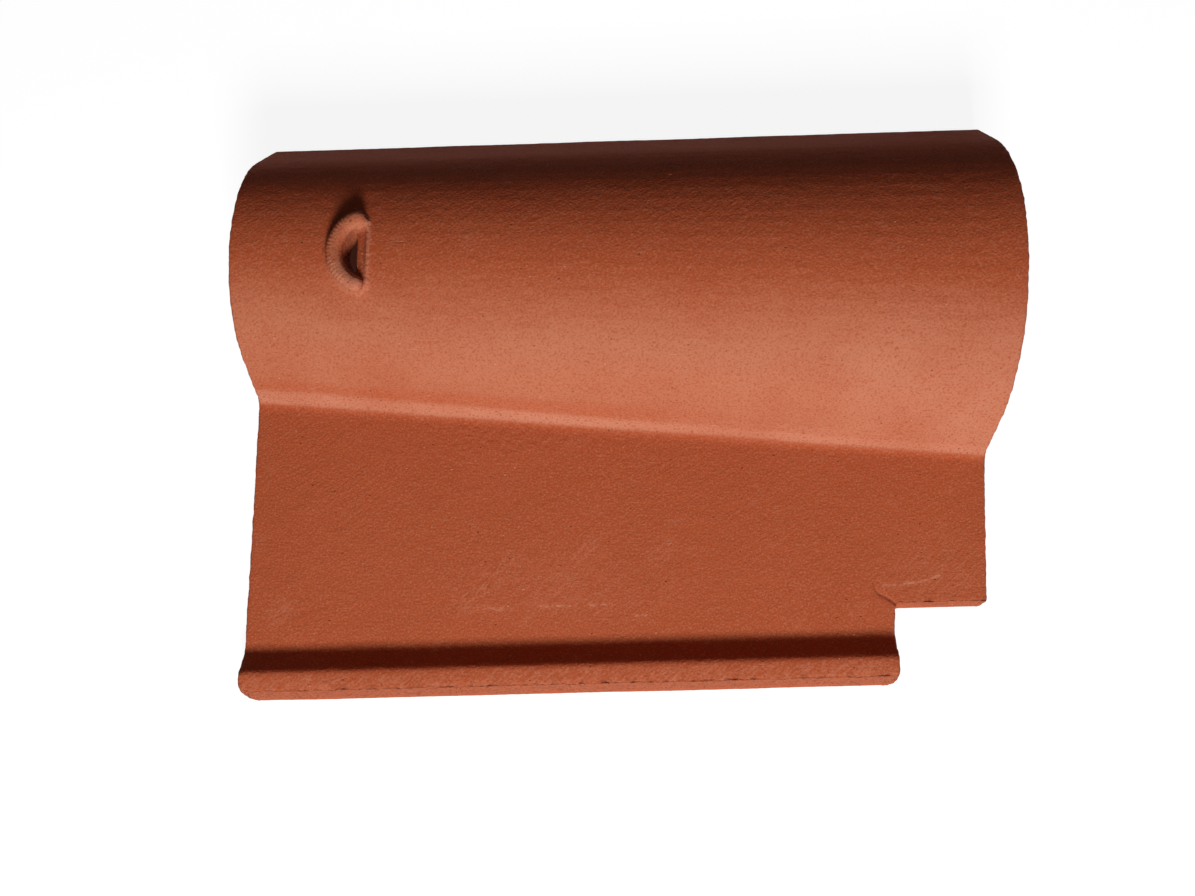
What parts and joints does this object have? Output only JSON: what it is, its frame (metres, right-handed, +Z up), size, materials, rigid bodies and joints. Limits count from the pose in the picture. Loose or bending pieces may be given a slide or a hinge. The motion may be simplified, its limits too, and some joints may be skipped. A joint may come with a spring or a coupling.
{
  "type": "clay roof tile",
  "caption": "One-piece fired clay roof tile with a tapered barrel, a flat pan, an upstanding side rib, a notched tail corner and a hooded lug with a tie slot.",
  "frame": {"origin": "Middle of the tile's box, on the level of the pan's underside and the barrel's free edge, on which it lies.", "axes": "+X along the tile from its head to its tail, which is the way down a roof; +Y from the rib to the barrel; +Z up, away from the roof."},
  "size_m": [0.4, 0.328, 0.0809],
  "materials": {
    "fired_clay": "unglazed, sandy, matt"
  },
  "bodies": {
    "root": {"roof_tile": "fired_clay"}
  },
  "joints": []
}
